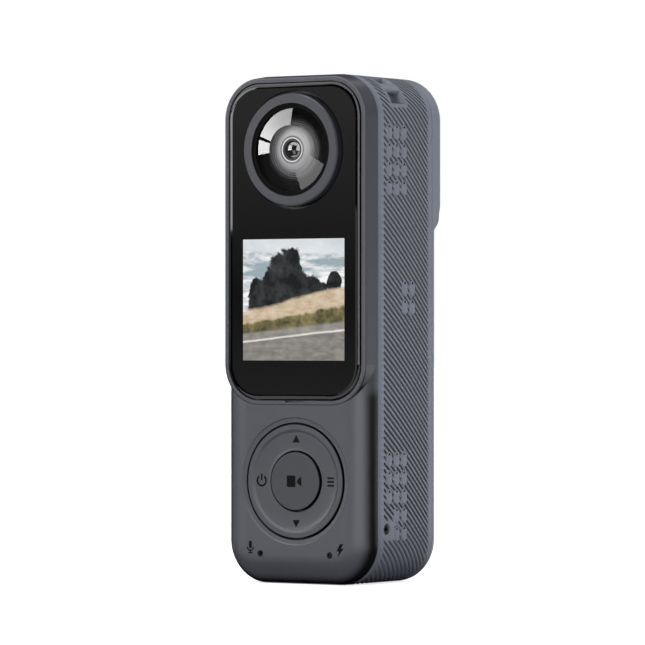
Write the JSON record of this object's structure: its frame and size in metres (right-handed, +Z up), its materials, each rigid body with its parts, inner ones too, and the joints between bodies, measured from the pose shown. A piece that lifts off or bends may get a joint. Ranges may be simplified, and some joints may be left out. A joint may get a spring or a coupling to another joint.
{
  "type": "handheld vlogging camera",
  "caption": "Upright handheld video camera with a glass-fronted lens and small square display above a round key ring, ribbed grip band, lanyard eye and tripod socket.",
  "frame": {"origin": "middle of the tripod socket's mouth in the flat bottom face", "axes": "+Z up along the camera's height and the socket's axis, +X right as seen from the front, the lens and keys face -Y"},
  "size_m": [0.0336, 0.0293, 0.0982],
  "materials": {
    "slate_housing": "fine spark-eroded moulding, satin matt",
    "slate_grip": "moulded with fine diagonal ribs, matt",
    "slate_back": "fine spark-eroded moulding, satin matt",
    "slate_key": "satin matt moulding with printed marks",
    "slate_ring": "anodised aluminium, fine satin",
    "black_glass": "polished, black printed on its back",
    "clear_glass": "polished and coated",
    "black_plastic": "matt black",
    "grey_plastic": "satin grey",
    "bright_metal": "polished",
    "display": "display picture under glass",
    "dark_display": "unlit display",
    "silicone": "matt silicone rubber",
    "foam_tape": "adhesive tape",
    "circuit_board": "solder mask over glass epoxy",
    "chip": "moulded epoxy",
    "ribbon": "polyimide film",
    "steel": "stamped, tinned",
    "black_steel": "black oxide",
    "aluminium": "plain rolled",
    "brass": "turned",
    "battery_wrap": "aluminium laminate pouch",
    "wire": "insulated wire",
    "filter_glass": "cut filter",
    "light_pipe": "smoked acrylic"
  },
  "bodies": {
    "camera_body": {"front_housing": "slate_housing", "grip_band": "slate_grip", "rear_cover": "slate_back", "rear_cover_seal": "silicone", "front_glass": "black_glass", "front_glass_seal": "foam_tape", "front_display_panel": "display", "display_adhesive": "clear_glass", "front_display_flex": "ribbon", "lens_ring": "slate_ring", "lens_retainer": "black_plastic", "lens_cover_glass": "clear_glass", "lens_hood": "black_plastic", "lens_nose": "grey_plastic", "lens_element_ring": "bright_metal", "lens_front_element": "clear_glass", "lens_barrel": "black_plastic", "lens_rear_elements": "clear_glass", "lens_holder": "black_plastic", "lens_screws": "black_steel", "ir_filter": "filter_glass", "image_sensor": "chip", "sensor_board": "circuit_board", "sensor_connector": "black_plastic", "inner_frame": "aluminium", "main_board": "circuit_board", "board_screws": "steel", "processor_shield": "steel", "memory_chips": "chip", "heat_pad": "silicone", "heat_spreader": "aluminium", "wifi_antenna": "ribbon", "key_board": "circuit_board", "key_board_screws": "steel", "key_domes": "steel", "key_board_flex": "ribbon", "led_light_pipe": "light_pipe", "status_led": "grey_plastic", "microphone": "steel", "microphone_gasket": "silicone", "battery": "battery_wrap", "battery_foam": "foam_tape", "battery_board": "circuit_board", "battery_leads": "wire", "speaker": "black_plastic", "usb_c_receptacle": "steel", "card_socket": "steel", "port_door_pin": "black_steel", "rear_glass": "black_glass", "rear_glass_seal": "foam_tape", "rear_display_panel": "dark_display", "rear_display_flex": "ribbon", "side_screws": "black_steel", "tripod_insert": "brass"},
    "record_button": {"record_button": "slate_key"},
    "ring_carrier": {"ring_carrier": "black_plastic"},
    "ring_key": {"ring_key": "slate_key"},
    "port_door": {"port_door": "slate_back", "port_door_gasket": "silicone"},
    "memory_card": {"memory_card": "chip"}
  },
  "joints": [
    {"name": "record_button_press", "type": "slide", "parent": "camera_body", "child": "record_button", "axis": [0, 1, 0], "range_m": [0, 0.00035], "stiffness_N_per_m": 3000},
    {"name": "ring_key_rock_up_down", "type": "hinge", "parent": "camera_body", "child": "ring_carrier", "pos_m": [0, -0.00975, 0.0199], "axis": [1, 0, 0], "range_deg": [-1.6, 1.6], "stiffness_Nm_per_rad": 0.4},
    {"name": "ring_key_rock_left_right", "type": "hinge", "parent": "ring_carrier", "child": "ring_key", "pos_m": [0, -0.00975, 0.0199], "axis": [0, 0, 1], "range_deg": [-1.6, 1.6], "stiffness_Nm_per_rad": 0.4},
    {"name": "port_door_swing", "type": "hinge", "parent": "camera_body", "child": "port_door", "pos_m": [-0.01615, -0.00025, 0.06665], "axis": [0, 0, 1], "range_deg": [0, 95]},
    {"name": "memory_card_push", "type": "slide", "parent": "camera_body", "child": "memory_card", "axis": [1, 0, 0], "range_m": [0, 0.0008], "stiffness_N_per_m": 600}
  ]
}
